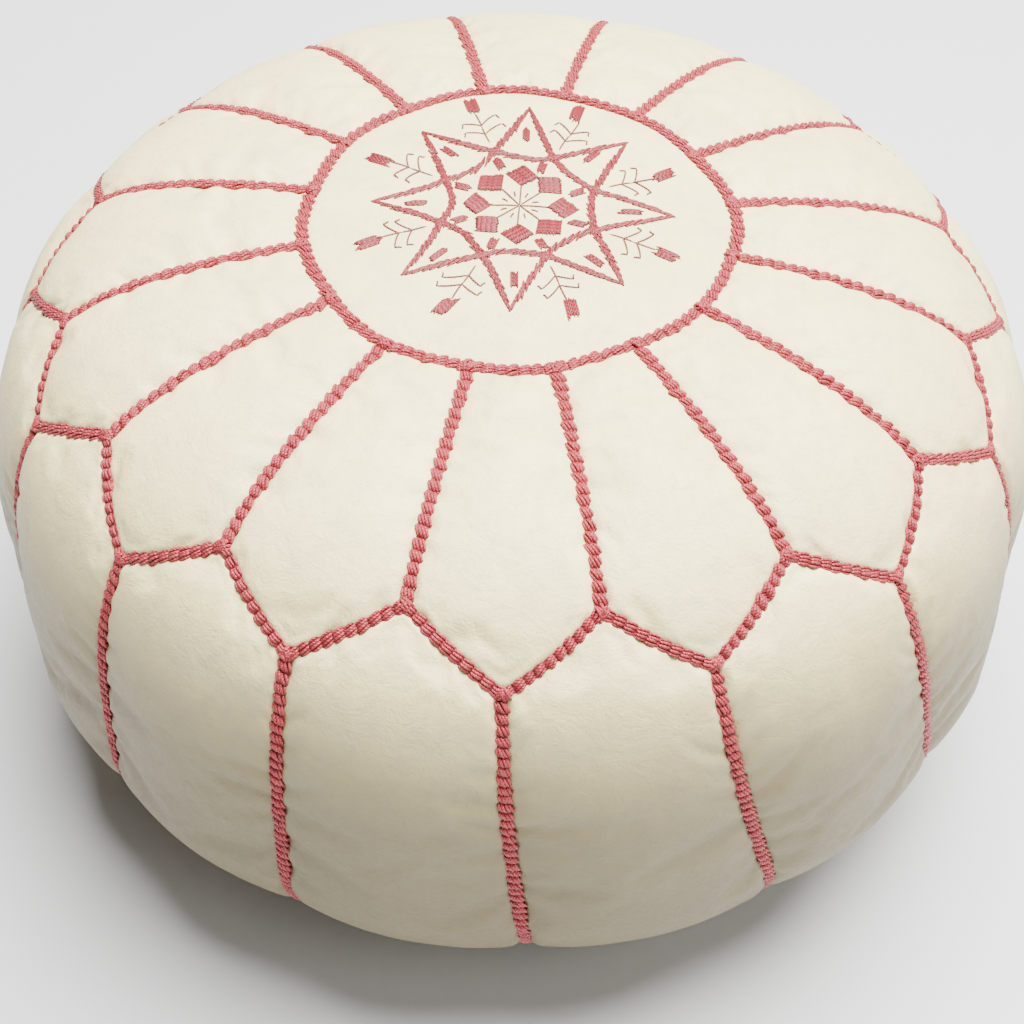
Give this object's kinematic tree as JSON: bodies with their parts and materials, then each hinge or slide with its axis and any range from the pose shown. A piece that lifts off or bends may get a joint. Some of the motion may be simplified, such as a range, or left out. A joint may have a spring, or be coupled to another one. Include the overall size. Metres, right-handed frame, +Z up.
{
  "type": "leather pouf",
  "caption": "Round stuffed leather pouf with radiating petal panels above tall side panels, braided seams, an embroidered medallion on top and a zip in the base.",
  "frame": {"origin": "centre of the flat base, on the floor", "axes": "+Z up through the crown's centre, front is -Y, the zip in the base runs along X"},
  "size_m": [0.5348, 0.5348, 0.3262],
  "materials": {
    "leather": "satin cream goat leather with a fine grain and soft creases",
    "braid_thread": "thick pink rayon thread, hand stitched into a raised braid with a soft sheen",
    "embroidery_thread": "flat pink satin stitch with a soft sheen",
    "cotton": "unbleached cotton, matte",
    "zip_tape": "woven cream zip tape, matte",
    "zip_metal": "brushed brass, slightly worn"
  },
  "bodies": {
    "cover": {"top_medallion": "leather", "upper_petal_01": "leather", "upper_petal_02": "leather", "upper_petal_03": "leather", "upper_petal_04": "leather", "upper_petal_05": "leather", "upper_petal_06": "leather", "upper_petal_07": "leather", "upper_petal_08": "leather", "upper_petal_09": "leather", "upper_petal_10": "leather", "upper_petal_11": "leather", "upper_petal_12": "leather", "upper_petal_13": "leather", "upper_petal_14": "leather", "upper_petal_15": "leather", "upper_petal_16": "leather", "side_panel_01": "leather", "side_panel_02": "leather", "side_panel_03": "leather", "side_panel_04": "leather", "side_panel_05": "leather", "side_panel_06": "leather", "side_panel_07": "leather", "side_panel_08": "leather", "side_panel_09": "leather", "side_panel_10": "leather", "side_panel_11": "leather", "side_panel_12": "leather", "side_panel_13": "leather", "side_panel_14": "leather", "side_panel_15": "leather", "side_panel_16": "leather", "base_half_left": "leather", "base_half_right": "leather", "seam_medallion": "braid_thread", "seam_spokes": "braid_thread", "seam_zigzag": "braid_thread", "seam_sides": "braid_thread", "seam_base": "braid_thread", "embroidery": "embroidery_thread", "lining": "cotton", "filling": "cotton", "zip_tape_left": "zip_tape", "zip_tape_right": "zip_tape", "zip_teeth_left": "zip_metal", "zip_teeth_right": "zip_metal", "zip_stops": "zip_metal"},
    "slider": {"zip_slider": "zip_metal"},
    "pull": {"zip_pull": "zip_metal"}
  },
  "joints": [
    {"name": "zip_travel", "type": "slide", "parent": "cover", "child": "slider", "axis": [1, 0, 0], "range_m": [0, 0.204]},
    {"name": "pull_swing", "type": "hinge", "parent": "slider", "child": "pull", "pos_m": [-0.1022, 0, 0.006], "axis": [0, 1, 0], "range_deg": [0, 175]}
  ]
}
